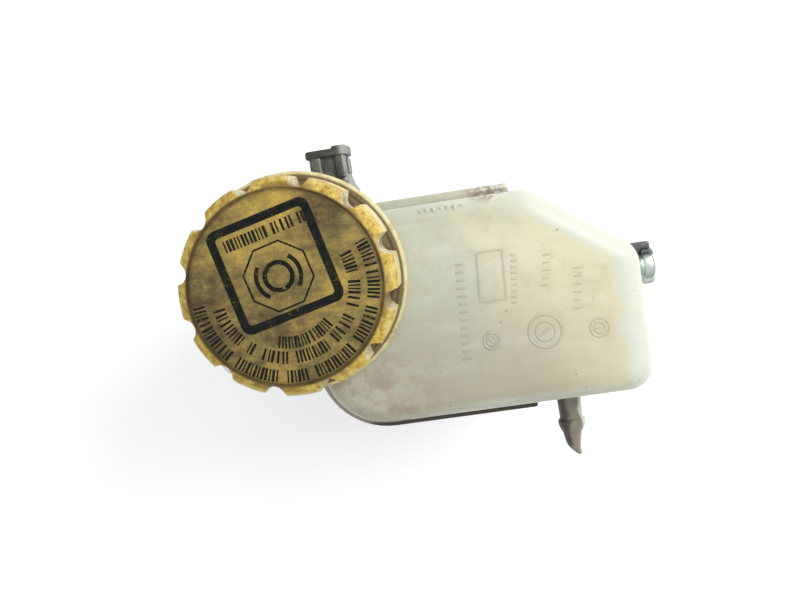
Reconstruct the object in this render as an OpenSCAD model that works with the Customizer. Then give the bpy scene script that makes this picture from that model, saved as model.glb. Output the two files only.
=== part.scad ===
// Tandem brake master cylinder with a clip-on plastic fluid reservoir.
// Frame: the origin is on the bore axis, in the plane of the mounting flange's rear face.
// +X runs along the bore from the flange to the nose, +Z points up to the filler cap.

/* [Cylinder body] */
// Diameter of the bore that both pistons slide in
bore_d = 20.6; // [19:0.1:21]
// Outer diameter of the cast barrel
barrel_d = 33; // [32:0.5:34]
// Thickness of the mounting flange
flange_t = 10; // [8:0.5:11]
// Distance between the two stud holes, measured along Z
stud_pitch = 60; // [58:1:62]
// Diameter of the stud holes
stud_hole_d = 8.5; // [8.2:0.1:9]
// Diameter of the pilot that locates in the booster
pilot_d = 32; // [31:0.5:33]
// Tapping diameter of the two outlet ports
port_d = 9; // [8.5:0.5:9.5]
// Radius of the round head at the tip of the nose
nose_r = 6; // [5.8:0.1:6.6]

/* [Pistons] */
// Running clearance between piston and bore, on the diameter
piston_gap = 0.1; // [0.06:0.02:0.16]
// Diameter of the primary piston's rear stem
stem_d = 14; // [13:0.5:14.5]
// Diameter of the socket for the booster's pushrod
socket_d = 9; // [8:0.5:9.5]
// Wire diameter of the two return springs
spring_wire = 1.8; // [1.4:0.1:1.8]

/* [Reservoir] */
// Half of the reservoir's width, at the shell wall
tank_half_w = 29.5; // [29:0.5:30]
// Height of the roof above the bore axis
roof_z = 50; // [49.5:0.5:50]
// Height of the welded seam above the bore axis
seam_z = 38; // [38:0.5:39]
// Height of the floor's underside above the bore axis
floor_z = 26; // [25.8:0.1:26.2]
// Wall thickness of the two shells
wall = 2.2; // [1.8:0.2:2.4]
// Width of the seam lip on the wide part of the shells
lip_w = 2.5; // [2:0.5:3]

/* [Filler cap] */
// Radius of the filler neck
neck_r = 21; // [20.8:0.1:21.1]
// Radius of the cap's skirt
skirt_r = 27.9; // [27.5:0.1:28.5]
// Radius of the cap's bottom rim
rim_r = 29.5; // [29:0.5:30]
// Height of the cap's top face above the bore axis
cap_top_z = 75; // [74.5:0.5:76]
// Number of grip notches around the skirt
notches = 12; // [8:1:16]
// Rise of the filler thread for each turn
thread_pitch = 6; // [6:0.5:7]

/* [Hidden] */
$fn = 72;
HULL_FN = 32;

eps = 0.01;
// Stations along the bore
pilot_x = -11;
guide_seat_x = 6.5;
bore_end_x = 108;
barrel_end_x = 105;
nose_tip_x = 130.5;
feed_x = [36, 80];
port_x = [54, 98];
port_face_y = -27;
port_depth = 13;
seal_w = 4;
seal_groove_d = 27.4;
seal_x = [27, 41, 71, 85];
clip_x = -9.7;
clip_t = 1.2;
// Pistons and their springs
piston_d = bore_d - piston_gap;
primary_x = [-17, 49];
secondary_x = [63, 93];
spring_bore_d = 14.2;
spring_mean_r = 6.1;
primary_spring_x = [31, 68];
secondary_spring_x = [73, bore_end_x];
// Reservoir plan: each corner is x, y, radius, counter-clockwise
tank_x = [27.5, 118.2];
tank_slant = [[tank_x[1], 9.4], [90.7, tank_half_w]];
tank_corners = [[tank_x[0], -tank_half_w, 17.5], [tank_x[1], -tank_half_w, 7],
                [tank_slant[0].x, tank_slant[0].y, 8], [tank_slant[1].x, tank_slant[1].y, 8],
                [tank_x[0], tank_half_w, 10]];
lip_end_x = 86;
lip_t = 2;
// Fixing lug between the two feed bosses
lug_x = 58;
pin_z = 20.5;
pin_d = 5;
// Filler neck
neck_x = 26.4;
neck_y = 14.1;
neck_floor_z = 44;
neck_top_z = 67;
neck_bore_r = 18.5;
ledge_z = 62;
thread_z = 57.3;
thread_sweep = 450;
rim_z = 53;
// Level sensor and float
sensor_x = 36.6;
sensor_z = 31;
float_x = 41.4;
float_y = 15;
float_z = 36.6;
// Hose nipple for a hydraulic clutch
nipple_x = 95.5;
nipple_z = 31;

// Unit vector from a to b
function unit(a, b) = (b - a) / norm(b - a);

// Points of the round corner at p, between neighbours a and b, with the outline moved in by inset
function round_corner(a, p, b, r, inset) =
    let (u = unit(a, p), v = unit(p, b), n1 = [-u.y, u.x], n2 = [-v.y, v.x])
    let (centre = p + r * (n1 + n2) / (1 + n1 * n2))
    let (start = atan2(-n1.y, -n1.x), turn = acos(u * v))
    let (steps = ceil(turn * sqrt(r) / 54))
    [for (i = [0 : steps])
        centre + (r - inset) * [cos(start + turn * i / steps), sin(start + turn * i / steps)]];

// The reservoir's plan outline, moved in by inset
function tank_outline(inset) =
    let (n = len(tank_corners), at = function(i) [tank_corners[i].x, tank_corners[i].y])
    [for (i = [0 : n - 1])
        each round_corner(at((i + n - 1) % n), at(i), at((i + 1) % n), tank_corners[i].z, inset)];

module tank_plate(z0, z1, inset) {
    translate([0, 0, z0]) linear_extrude(z1 - z0) polygon(tank_outline(inset));
}

// Solid through a stack of outlines, each given as [z, inset] from the bottom up
module tank_stack(levels) {
    outlines = [for (l = levels) [for (p = tank_outline(l.y)) [p.x, p.y, l.x]]];
    n = len(outlines[0]);
    top = len(levels) - 1;
    walls = [for (i = [0 : top - 1], k = [0 : n - 1])
        let (a = i * n + k, b = i * n + (k + 1) % n)
        [a, a + n, b + n, b]];
    ends = [[for (k = [0 : n - 1]) k], [for (k = [n - 1 : -1 : 0]) top * n + k]];
    polyhedron(points = [for (o = outlines) each o], faces = concat(walls, ends), convexity = 4);
}

module rod_x(x0, x1, d) {
    translate([x0, 0, 0]) rotate([0, 90, 0]) cylinder(h = x1 - x0, d = d);
}

module rod_y(y0, y1, d) {
    translate([0, y0, 0]) rotate([-90, 0, 0]) cylinder(h = y1 - y0, d = d);
}

module rod_z(z0, z1, d) {
    translate([0, 0, z0]) cylinder(h = z1 - z0, d = d);
}

module tube_x(x0, x1, d_in, d_out) {
    difference() {
        rod_x(x0, x1, d_out);
        rod_x(x0 - 1, x1 + 1, d_in);
    }
}

module tube_z(z0, z1, d_in, d_out) {
    difference() {
        rod_z(z0, z1, d_out);
        rod_z(z0 - 1, z1 + 1, d_in);
    }
}

// Turns a profile of [x, r] points about the bore axis
module turned_x(profile) {
    rotate([0, 90, 0]) rotate_extrude() polygon([for (p = profile) [p.y, p.x]]);
}

// Turns a profile of [r, z] points about the filler neck's axis
module turned_neck(profile) {
    translate([neck_x, neck_y, 0]) rotate_extrude() polygon(profile);
}

// Closed tube of round wire that follows a list of points, with its ring planes across the path
module wire(path, r, sides = 8) {
    n = len(path);
    tangent = [for (i = [0 : n - 1]) unit(path[max(i - 1, 0)], path[min(i + 1, n - 1)])];
    rings = [for (i = [0 : n - 1])
        let (out = [0, path[i].y, path[i].z] / norm([path[i].y, path[i].z]))
        let (side = cross(tangent[i], out))
        let (up = cross(side, tangent[i]))
        for (k = [0 : sides - 1])
            path[i] + r * (cos(360 * k / sides) * up + sin(360 * k / sides) * side)];
    walls = [for (i = [0 : n - 2], k = [0 : sides - 1])
        let (a = i * sides + k, b = i * sides + (k + 1) % sides)
        [a, b, b + sides, a + sides]];
    ends = [[for (k = [sides - 1 : -1 : 0]) k], [for (k = [0 : sides - 1]) (n - 1) * sides + k]];
    polyhedron(points = rings, faces = concat(walls, ends), convexity = 10);
}

// Compression spring along X with closed end coils
module spring(x0, x1, mean_r, wire_d, active) {
    turns = active + 2;
    steps = turns * 16;
    span = x1 - x0 - wire_d;
    closed = wire_d * 1.04;
    advance = function(t) t < 1 ? closed * t
        : t > turns - 1 ? span - closed * (turns - t)
        : closed + (span - 2 * closed) * (t - 1) / active;
    path = [for (i = [0 : steps])
        let (t = i * turns / steps)
        [x0 + wire_d / 2 + advance(t), mean_r * cos(360 * t), mean_r * sin(360 * t)]];
    wire(path, wire_d / 2);
}

// Helical ridge about the neck's axis: root and crest radius, start height, start angle and sweep
module helix_ridge(root_r, crest_r, root_w, crest_w, z0, start, sweep) {
    steps = ceil(sweep / 10);
    fade = 3;
    rings = [for (i = [0 : steps])
        let (a = start + sweep * i / steps, z = z0 + thread_pitch * sweep * i / steps / 360)
        let (k = max(0.08, min(1, i / fade, (steps - i) / fade)))
        let (r = root_r + (crest_r - root_r) * k)
        for (p = [[root_r, -root_w / 2], [r, -crest_w / 2], [r, crest_w / 2], [root_r, root_w / 2]])
            [p.x * cos(a), p.x * sin(a), z + p.y]];
    flip = crest_r < root_r;
    walls = [for (i = [0 : steps - 1], k = [0 : 3])
        let (a = i * 4 + k, b = i * 4 + (k + 1) % 4)
        flip ? [a, a + 4, b + 4, b] : [a, b, b + 4, a + 4]];
    first = [3, 2, 1, 0];
    last = [for (k = [0 : 3]) steps * 4 + k];
    ends = flip ? [[0, 1, 2, 3], [last[3], last[2], last[1], last[0]]] : [first, last];
    translate([neck_x, neck_y, 0]) polyhedron(points = rings, faces = concat(walls, ends), convexity = 10);
}

// ---------- Cylinder body ----------

module flange_plate() {
    ear_r = 9.5;
    hub_r = 21;
    reach = stud_pitch / 2;
    slope = asin((hub_r - ear_r) / reach);
    edge = [hub_r * cos(slope), hub_r * sin(slope)];
    ear = [ear_r * cos(slope), reach + ear_r * sin(slope)];
    rotate([90, 0, 90]) linear_extrude(flange_t) {
        circle(r = hub_r);
        polygon([edge, ear, [-ear.x, ear.y], [-edge.x, edge.y],
                 [-edge.x, -edge.y], [-ear.x, -ear.y], [ear.x, -ear.y], [edge.x, -edge.y]]);
        for (side = [-1, 1])
            translate([0, side * reach]) circle(r = ear_r);
    }
    for (side = [-1, 1])
        translate([0, 0, side * reach]) rod_x(flange_t - eps, flange_t + 0.8, 2 * ear_r - 2);
}

module barrel() {
    r = barrel_d / 2;
    round_r = 9;
    shoulder = [for (a = [90 : -9 : 27]) [barrel_end_x + round_r * cos(a), r - round_r + round_r * sin(a)]];
    head = [for (a = [157.5 : -22.5 : 0]) [nose_tip_x - 2.2 + 2.2 * cos(a), nose_r - 2.2 + 2.2 * sin(a)]];
    profile = concat(
        [[pilot_x, 0], [pilot_x, pilot_d / 2 - 0.8], [pilot_x + 0.8, pilot_d / 2],
         [0, pilot_d / 2], [0, r], [barrel_end_x, r]],
        shoulder,
        [[121.5, 9.2], [122.8, 8], [123.6, 5.6], [124.4, 4.4], [125.6, 4.4]],
        head,
        [[nose_tip_x, 0]]);
    turned_x(profile);
}

module nose_rib() {
    translate([112, 3.6, -2.4]) cube([17.6, 4.1, 4.6]);
}

module feed_boss(x) {
    translate([x, 0, 0]) rod_z(6, 22, 23);
}

module outlet_boss(x) {
    translate([x, 0, 0]) {
        rod_y(port_face_y, -8, 17);
        rod_y(-20, -8, 20);
    }
}

module flange_gussets() {
    for (side = [-1, 1])
        rotate([side > 0 ? 0 : 180, 0, 0]) translate([flange_t - 1, 14, -2.5]) linear_extrude(5)
            polygon([[0, 0], [0, 6.6], [3, 6], [16, 2.2], [18, 0]]);
}

module body_cuts() {
    rod_x(pilot_x - 1, guide_seat_x, 24.1);
    rod_x(0, bore_end_x, bore_d);
    tube_x(clip_x, clip_x + clip_t + 0.1, 20, 26);
    for (x = seal_x)
        rod_x(x, x + seal_w, seal_groove_d);
    for (x = feed_x) {
        rod_x(x - 2.5, x + 2.5, bore_d + 2);
        translate([x, 0, 0]) rod_z(13.5, 30, 16.4);
        translate([x, 0, 0]) rod_z(5, 14, 4);
    }
    for (x = port_x)
        translate([x, 0, 0]) {
            rod_y(port_face_y - 1, port_face_y + port_depth, port_d);
            rod_y(port_face_y, -5, 3);
            translate([0, port_face_y - eps, 0]) rotate([-90, 0, 0])
                cylinder(h = 0.8, d1 = port_d + 1.6, d2 = port_d);
        }
    for (side = [-1, 1])
        translate([0, 0, side * stud_pitch / 2]) rod_x(-1, flange_t + 2, stud_hole_d);
    translate([lug_x, 0, pin_z]) rod_y(-10, 10, pin_d + 0.1);
    tube_x(-8, -5.6, 27.6, pilot_d + 2);
}

module cylinder_body() {
    color([0.70, 0.71, 0.72]) difference() {
        union() {
            barrel();
            flange_plate();
            flange_gussets();
            nose_rib();
            for (x = feed_x)
                feed_boss(x);
            for (x = port_x)
                outlet_boss(x);
            translate([lug_x - 6, -4, 12]) cube([12, 8, 13.4]);
            translate([feed_x[0], -2.5, 12]) cube([feed_x[1] - feed_x[0], 5, 7]);
        }
        body_cuts();
    }
}

module guide_bush() {
    color([0.16, 0.16, 0.17]) difference() {
        rod_x(clip_x + clip_t + 0.1, guide_seat_x - 0.05, 24);
        rod_x(pilot_x, guide_seat_x + 1, stem_d + 0.12);
        rod_x(-4, -0.5, 19);
        rod_x(pilot_x, -6.5, stem_d + 3);
    }
}

// Lip seal: a ring with a groove in one face, between an inner and an outer radius
module lip_seal(x, w, r_in, r_out) {
    mid = (r_in + r_out) / 2;
    gap = (r_out - r_in) * 0.16;
    turned_x([[x, r_in + 0.3], [x, r_out - 0.3], [x + 0.4, r_out], [x + w, r_out - 0.2],
              [x + w, mid + gap], [x + w * 0.45, mid + gap * 0.4], [x + w * 0.45, mid - gap * 0.4],
              [x + w, mid - gap], [x + w, r_in + 0.2], [x + 0.4, r_in]]);
}

module stem_seal() {
    color([0.08, 0.08, 0.08]) lip_seal(-3.9, 3.3, stem_d / 2 + 0.04, 9.45);
}

module circlip() {
    color([0.45, 0.46, 0.48]) difference() {
        union() {
            tube_x(clip_x + 0.05, clip_x + clip_t, 22.2, 25.8);
            for (side = [-1, 1])
                translate([0, side * 3.3, -9.9]) rod_x(clip_x + 0.05, clip_x + clip_t, 4.2);
        }
        translate([clip_x - 1, -1.7, -14]) cube([4, 3.4, 8]);
        for (side = [-1, 1])
            translate([0, side * 3.3, -9.6]) rod_x(clip_x - 1, clip_x + 3, 1.6);
    }
}

module pilot_o_ring() {
    color([0.06, 0.06, 0.06]) rotate([0, 90, 0]) translate([0, 0, -6.8])
        rotate_extrude() translate([14.9, 0]) circle(d = 2.1);
}

module bore_seal(index) {
    color([0.09, 0.09, 0.10])
        lip_seal(seal_x[index] + 0.2, seal_w - 0.4, piston_d / 2 + 0.03, seal_groove_d / 2 - 0.05);
}

// ---------- Pistons and springs ----------

module radial_holes(x, d) {
    for (a = [0 : 90 : 270])
        rotate([a, 0, 0]) translate([x, 0, 0]) rod_z(5, 12, d);
}

module primary_piston() {
    shoulder_x = guide_seat_x + 0.05;
    r = piston_d / 2;
    color([0.78, 0.79, 0.80]) difference() {
        turned_x([[primary_x[0], 0], [primary_x[0], stem_d / 2 - 1], [primary_x[0] + 1, stem_d / 2],
                  [shoulder_x, stem_d / 2], [shoulder_x, r - 0.5], [shoulder_x + 0.5, r],
                  [primary_x[1] - 0.5, r], [primary_x[1], r - 0.5], [primary_x[1], 0]]);
        rod_x(primary_x[0] - 1, primary_x[0] + 8, socket_d);
        translate([primary_x[0] + 8 - eps, 0, 0]) rotate([0, 90, 0])
            cylinder(h = 2.5, d1 = socket_d, d2 = 1);
        rod_x(primary_spring_x[0], primary_x[1] + 1, spring_bore_d);
        rod_x(primary_spring_x[0] - 3.2, primary_spring_x[0] + 1, 4.1);
        radial_holes(37.5, 1.8);
    }
}

module secondary_piston() {
    r = piston_d / 2;
    color([0.76, 0.77, 0.78]) difference() {
        turned_x([[secondary_x[0], 0], [secondary_x[0], r - 0.5], [secondary_x[0] + 0.5, r],
                  [secondary_x[1] - 0.5, r], [secondary_x[1], r - 0.5], [secondary_x[1], 0]]);
        rod_x(secondary_x[0] - 1, primary_spring_x[1], spring_bore_d);
        rod_x(secondary_spring_x[0], secondary_x[1] + 1, spring_bore_d);
        radial_holes(81.5, 1.8);
    }
}

module primary_spring() {
    color([0.35, 0.36, 0.38])
        spring(primary_spring_x[0] + 0.05, primary_spring_x[1] - 1.3, spring_mean_r, spring_wire, 8);
}

module secondary_spring() {
    color([0.35, 0.36, 0.38])
        spring(secondary_spring_x[0] + 0.05, secondary_spring_x[1] - 0.05, spring_mean_r, spring_wire, 7);
}

module cage_screw() {
    color([0.62, 0.60, 0.52]) {
        rod_x(primary_spring_x[0] - 3, 52, 4);
        rod_x(51.3, 53, 7.8);
    }
}

module cage_sleeve() {
    end_x = primary_spring_x[1] - 0.05;
    color([0.68, 0.66, 0.58]) union() {
        tube_x(49.7, end_x, 8.3, 9.9);
        tube_x(49.7, 51.1, 4.3, 9.9);
        tube_x(end_x - 1.2, end_x, 8.3, 13.9);
    }
}

// ---------- Reservoir ----------

module grommet(x) {
    color([0.07, 0.07, 0.07]) translate([x, 0, 0]) difference() {
        union() {
            rod_z(13.6, 22.1, 16.2);
            rod_z(22.05, 24.6, 21);
            rod_z(24.5, 25.6, 15);
        }
        rod_z(10, 30, 10.3);
        for (z = [16, 18.6])
            tube_z(z, z + 1, 15, 20);
    }
}

module lip(z0, z1) {
    reach = tank_half_w + lip_w;
    wide = [for (p = tank_outline(-lip_w)) if (p.x < lip_end_x) p];
    translate([0, 0, z0]) linear_extrude(z1 - z0)
        polygon(concat([for (p = wide) if (p.y < 0) p], [[lip_end_x, -reach], [lip_end_x, reach]],
                       [for (p = wide) if (p.y > 0) p]));
    tank_plate(z0, z1, -0.4);
}

module sensor_pocket() {
    translate([sensor_x, 0, sensor_z]) {
        rod_y(6, 32, 10.4);
        rod_y(28, 31.9, 13.6);
    }
}

module fixing_tabs() {
    for (y = [-7.4, 4.4])
        translate([lug_x - 6, y, 16.9]) cube([12, 3, floor_z - 16.9 + 1]);
}

module hose_nipple() {
    translate([nipple_x, 0, nipple_z]) {
        rod_y(-38.6, -27.5, 7);
        translate([0, -38.6, 0]) rotate([90, 0, 0]) cylinder(h = 3.4, d1 = 8.2, d2 = 6);
        rod_y(-44, -38.6, 5.4);
        translate([0, -44, 0]) rotate([90, 0, 0]) cylinder(h = 5.7, d1 = 5.4, d2 = 2.4);
    }
}

module reservoir_lower() {
    color([0.87, 0.87, 0.78]) difference() {
        union() {
            difference() {
                union() {
                    tank_stack([[floor_z, 3.4], [floor_z + 1.2, 0.9], [floor_z + 3.5, 0], [seam_z - 1, 0]]);
                    lip(seam_z - lip_t, seam_z);
                }
                tank_plate(floor_z + wall, seam_z + 1, wall + 0.8);
            }
            sensor_pocket();
            fixing_tabs();
            hose_nipple();
            for (x = feed_x)
                translate([x, 0, 0]) rod_z(14.2, floor_z + wall - 0.5, 10.2);
            translate([lug_x - 0.9, 1 - tank_half_w, floor_z + 1]) cube([1.8, 2 * tank_half_w - 2, 8]);
            translate([float_x, float_y, 0]) rod_z(floor_z + 1, 47.3, 3.6);
        }
        translate([sensor_x, 0, sensor_z]) rod_y(7.5, 40, 7.5);
        translate([nipple_x, 0, nipple_z]) rod_y(-42, -20, 3.6);
        translate([lug_x, 0, pin_z]) rod_y(-10, 10, pin_d + 0.1);
        for (x = feed_x)
            translate([x, 0, 0]) rod_z(10, floor_z + wall + 1, 7);
    }
}

module neck_outer() {
    translate([neck_x, neck_y, 0]) {
        rod_z(neck_floor_z, neck_top_z, 2 * neck_r);
        rod_z(53.4, 54.8, 2 * neck_r + 1.6);
    }
}

module neck_cavity() {
    translate([neck_x, neck_y, 0]) {
        rod_z(neck_floor_z + wall, ledge_z + eps, 33.4);
        rod_z(ledge_z, neck_top_z + 1, 2 * neck_bore_r);
    }
}

module neck_thread() {
    helix_ridge(neck_r - 0.3, neck_r + 1.6, 2.6, 1.2, thread_z, 200, thread_sweep);
}

module reservoir_upper() {
    color([0.88, 0.88, 0.80]) difference() {
        union() {
            tank_stack([[seam_z + 1, 0], [roof_z - 5, 0], [roof_z - 2.8, 0.6], [roof_z - 1.2, 1.9],
                        [roof_z - 0.3, 3.8], [roof_z, 6]]);
            lip(seam_z, seam_z + lip_t);
            neck_outer();
            neck_thread();
        }
        tank_plate(seam_z - 1, roof_z - 5, wall);
        tank_plate(roof_z - 6, roof_z - wall, wall + 1.6);
        neck_cavity();
    }
}

module reservoir_pin() {
    color([0.55, 0.56, 0.58]) translate([lug_x, 0, pin_z]) difference() {
        rod_y(-8.6, 8.6, pin_d);
        rod_y(-10, 10, 3);
        translate([-0.5, -10, -4]) cube([1, 20, 4]);
    }
}

module filler_strainer() {
    color([0.90, 0.90, 0.86]) translate([neck_x, neck_y, 0]) difference() {
        union() {
            tube_z(50, 63.4, 30, 32);
            tube_z(ledge_z + 0.05, 63.4, 30, 36.4);
            rod_z(50, 51.2, 32);
        }
        for (a = [0 : 30 : 330])
            rotate([0, 0, a]) translate([10, -2.6, 52.6]) cube([10, 5.2, 7.6]);
        for (a = [0 : 60 : 300])
            rotate([0, 0, a]) translate([8.5, 0, 0]) rod_z(49, 52, 5);
        rod_z(49, 52, 7);
    }
}

// ---------- Filler cap ----------

module cap_shell() {
    skirt_in = neck_r + 2;
    under_z = cap_top_z - 2.6;
    crown_r = 4;
    crown = [for (a = [0 : 11.25 : 67.5])
        [skirt_r - crown_r + crown_r * cos(a), cap_top_z - crown_r + crown_r * sin(a)]];
    lip_round = [for (a = [-80 : 20 : 80]) [rim_r - 1.6 + 1.6 * cos(a), rim_z + 1.6 + 1.6 * sin(a)]];
    turned_neck(concat(
        [[skirt_in + 0.4, rim_z]], lip_round, [[skirt_r, rim_z + 3.2], [skirt_r, cap_top_z - crown_r]],
        crown,
        [[25, cap_top_z - 0.15], [24.8, cap_top_z - 0.45], [24.5, cap_top_z - 0.45], [24.3, cap_top_z],
         [0, cap_top_z], [0, under_z - 7.8], [2.6, under_z - 7.8], [3.2, under_z - 7.2], [3.2, under_z - 6.4],
         [2.5, under_z - 6.1], [2.5, under_z], [17.8, under_z], [17.8, 69.85], [20.6, 69.85],
         [20.6, under_z], [skirt_in, under_z], [skirt_in, rim_z + 0.6]]));
}

module cap_notch(angle) {
    translate([neck_x, neck_y, 0]) rotate([0, 0, angle]) translate([skirt_r - 0.2, 0, 0])
        rod_z(rim_z + 3.2, cap_top_z + 1, 5.2);
}

module filler_cap() {
    color([0.85, 0.72, 0.20]) difference() {
        union() {
            cap_shell();
            helix_ridge(neck_r + 2.3, neck_r + 0.5, 2.6, 1.2, thread_z - 2 + thread_pitch / 4, 290, 300);
        }
        for (i = [0 : notches - 1])
            cap_notch(15 + 360 * i / notches);
    }
}

module cap_diaphragm() {
    color([0.10, 0.10, 0.10]) turned_neck([
        [2.8, 66.7], [2.8, 69.4], [6, 69.4], [6.6, 68.4], [9, 65.4], [11, 65.4], [13.2, 68.6],
        [15.6, 69.55], [20.8, 69.55], [20.8, 67.3], [18.2, 67.3], [17.6, 66.4], [17.4, 67.8],
        [15.9, 68.3], [14.2, 67.6], [11.8, 64.2], [8.2, 64.2], [5.4, 66.7]]);
}

// ---------- Level float and sensor ----------

module level_float() {
    color([0.80, 0.79, 0.72]) translate([float_x, float_y, 0]) difference() {
        tube_z(float_z, float_z + 5, 4.2, 18);
        tube_z(float_z - 1, float_z + 1.8, 7.9, 13.2);
    }
}

module float_magnet() {
    color([0.25, 0.25, 0.27]) translate([float_x, float_y, 0])
        tube_z(float_z + 0.05, float_z + 1.75, 8, 13.1);
}

module sensor_block(y0, y1, w, h, r) {
    translate([sensor_x, y0, sensor_z]) rotate([-90, 0, 0]) linear_extrude(y1 - y0) {
        square([w - 2 * r, h], center = true);
        square([w, h - 2 * r], center = true);
        for (sx = [-1, 1], sz = [-1, 1])
            translate([sx * (w / 2 - r), sz * (h / 2 - r)]) circle(r = r);
    }
}

module level_sensor() {
    color([0.17, 0.18, 0.18]) difference() {
        union() {
            translate([sensor_x, 0, sensor_z]) {
                rod_y(8.5, 34, 7);
                rod_y(33.1, 36.5, 15.2);
                translate([0, 36.5, 0]) rotate([-90, 0, 0]) cylinder(h = 7, d1 = 15.2, d2 = 9.8);
            }
            sensor_block(38, 48, 10.6, 12.4, 1.6);
            sensor_block(46.8, 49.8, 12.4, 14.4, 2.4);
        }
        sensor_block(41, 51, 7.8, 9.6, 1);
    }
}

module sensor_terminals() {
    color([0.75, 0.66, 0.38])
        for (side = [-1, 1])
            translate([sensor_x - 0.4, 41, sensor_z + side * 2.4 - 1.1]) cube([0.8, 4.5, 2.2]);
}

module sensor_gasket() {
    color([0.08, 0.08, 0.09]) translate([sensor_x, 0, sensor_z]) difference() {
        rod_y(32.05, 33.05, 13.4);
        rod_y(30, 35, 7.1);
    }
}

cylinder_body();
guide_bush();
stem_seal();
circlip();
pilot_o_ring();
bore_seal(0);  // rear_seal
bore_seal(1);  // primary_pressure_seal
bore_seal(2);  // separating_seal
bore_seal(3);  // secondary_pressure_seal
primary_piston();
secondary_piston();
primary_spring();
secondary_spring();
cage_screw();
cage_sleeve();
grommet(feed_x[0]);  // rear_grommet
grommet(feed_x[1]);  // front_grommet
reservoir_lower();
reservoir_upper();
reservoir_pin();
filler_strainer();
filler_cap();
cap_diaphragm();
level_float();
float_magnet();
level_sensor();
sensor_terminals();
sensor_gasket();
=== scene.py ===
"""A brake master cylinder with its fluid reservoir, seen from above.

Every shape is built in millimetres in the CAD model's own axes, and scaled to metres at the end.
"""
import math
import random

import bmesh
import bpy
from mathutils import Matrix, Vector


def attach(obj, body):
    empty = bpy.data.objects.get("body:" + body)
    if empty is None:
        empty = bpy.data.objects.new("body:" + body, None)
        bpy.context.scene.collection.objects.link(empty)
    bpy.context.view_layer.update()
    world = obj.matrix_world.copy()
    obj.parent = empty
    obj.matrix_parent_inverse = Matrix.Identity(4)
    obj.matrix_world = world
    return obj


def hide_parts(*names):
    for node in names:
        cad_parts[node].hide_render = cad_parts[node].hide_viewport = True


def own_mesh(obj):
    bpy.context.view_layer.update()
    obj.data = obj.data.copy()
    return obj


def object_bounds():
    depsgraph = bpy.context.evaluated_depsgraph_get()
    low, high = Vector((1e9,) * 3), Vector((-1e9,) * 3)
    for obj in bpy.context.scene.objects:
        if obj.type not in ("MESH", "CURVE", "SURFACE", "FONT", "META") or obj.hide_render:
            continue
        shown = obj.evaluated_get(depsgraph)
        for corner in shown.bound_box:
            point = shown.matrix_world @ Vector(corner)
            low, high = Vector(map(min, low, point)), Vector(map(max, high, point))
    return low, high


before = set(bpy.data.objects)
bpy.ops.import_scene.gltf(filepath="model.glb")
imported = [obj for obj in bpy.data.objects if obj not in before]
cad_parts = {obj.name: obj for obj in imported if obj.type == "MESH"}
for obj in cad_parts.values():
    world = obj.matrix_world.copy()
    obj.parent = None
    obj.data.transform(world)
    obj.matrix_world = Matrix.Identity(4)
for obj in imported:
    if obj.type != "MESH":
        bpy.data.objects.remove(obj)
CAD_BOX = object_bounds()
MM = 0.001
TAU = 2 * math.pi

# ---------- Camera, light and floor ----------

LAMP_AIM = Vector((0.06, 0, 0.04))


def make_camera():
    data = bpy.data.cameras.new("camera")
    data.lens = 42.2
    data.sensor_width = 36
    data.clip_start = 0.01
    cam = bpy.data.objects.new("camera", data)
    cam.location = (0.07312, 0.02772, 0.30419)
    cam.rotation_euler = [math.radians(a) for a in (-5.796, 3.839, -8.666)]
    bpy.context.collection.objects.link(cam)
    bpy.context.scene.camera = cam


def area_light(name, place, size, power, colour):
    data = bpy.data.lights.new(name, "AREA")
    data.shape = "DISK"
    data.size = size
    data.energy = power
    data.color = colour
    lamp = bpy.data.objects.new(name, data)
    lamp.location = place
    lamp.rotation_euler = (LAMP_AIM - Vector(place)).to_track_quat("-Z", "Y").to_euler()
    bpy.context.collection.objects.link(lamp)


def make_world():
    world = bpy.data.worlds.new("studio")
    bpy.context.scene.world = world
    world.use_nodes = True
    tree = world.node_tree
    back = tree.nodes["Background"]
    coord = tree.nodes.new("ShaderNodeTexCoord")
    split = tree.nodes.new("ShaderNodeSeparateXYZ")
    ramp = tree.nodes.new("ShaderNodeValToRGB")
    tree.links.new(coord.outputs["Generated"], split.inputs[0])
    tree.links.new(split.outputs["Z"], ramp.inputs[0])
    tree.links.new(ramp.outputs[0], back.inputs["Color"])
    stops = ramp.color_ramp.elements
    stops[0].position, stops[0].color = 0.0, (0.30, 0.31, 0.32, 1)
    stops[1].position, stops[1].color = 0.75, (1.0, 1.0, 1.0, 1)
    middle = stops.new(0.30)
    middle.color = (0.42, 0.43, 0.44, 1)
    back.inputs["Strength"].default_value = 0.62


def make_floor():
    mesh = bpy.data.meshes.new("floor")
    half, height = 3.0, CAD_BOX[0].z - 0.0002
    corners = [(-half, -half, height), (half, -half, height), (half, half, height), (-half, half, height)]
    mesh.from_pydata(corners, [], [(0, 1, 2, 3)])
    floor = bpy.data.objects.new("floor", mesh)
    bpy.context.collection.objects.link(floor)
    paint = bpy.data.materials.new("floor_paint")
    paint.use_nodes = True
    shader = paint.node_tree.nodes["Principled BSDF"]
    shader.inputs["Base Color"].default_value = (0.94, 0.94, 0.94, 1)
    shader.inputs["Roughness"].default_value = 0.9
    shader.inputs["Emission Color"].default_value = (1, 1, 1, 1)
    shader.inputs["Emission Strength"].default_value = 0.34
    mesh.materials.append(paint)


make_camera()
make_world()
make_floor()
area_light("key", (0.52, 0.26, 0.48), 0.45, 3.6, (1.0, 0.99, 0.96))
area_light("fill", (-0.45, -0.15, 0.55), 0.60, 0.8, (0.95, 0.98, 1.0))
bpy.context.scene.view_settings.view_transform = "Standard"

# ---------- Shapes, as (vertices, faces) in millimetres ----------


def along_x(y=0.0, z=0.0):
    return lambda r, h, c, s: (h, y + r * c, z + r * s)


def along_y(x, z):
    return lambda r, h, c, s: (x + r * s, h, z + r * c)


def along_z(x, y):
    return lambda r, h, c, s: (x + r * c, y + r * s, h)


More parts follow.
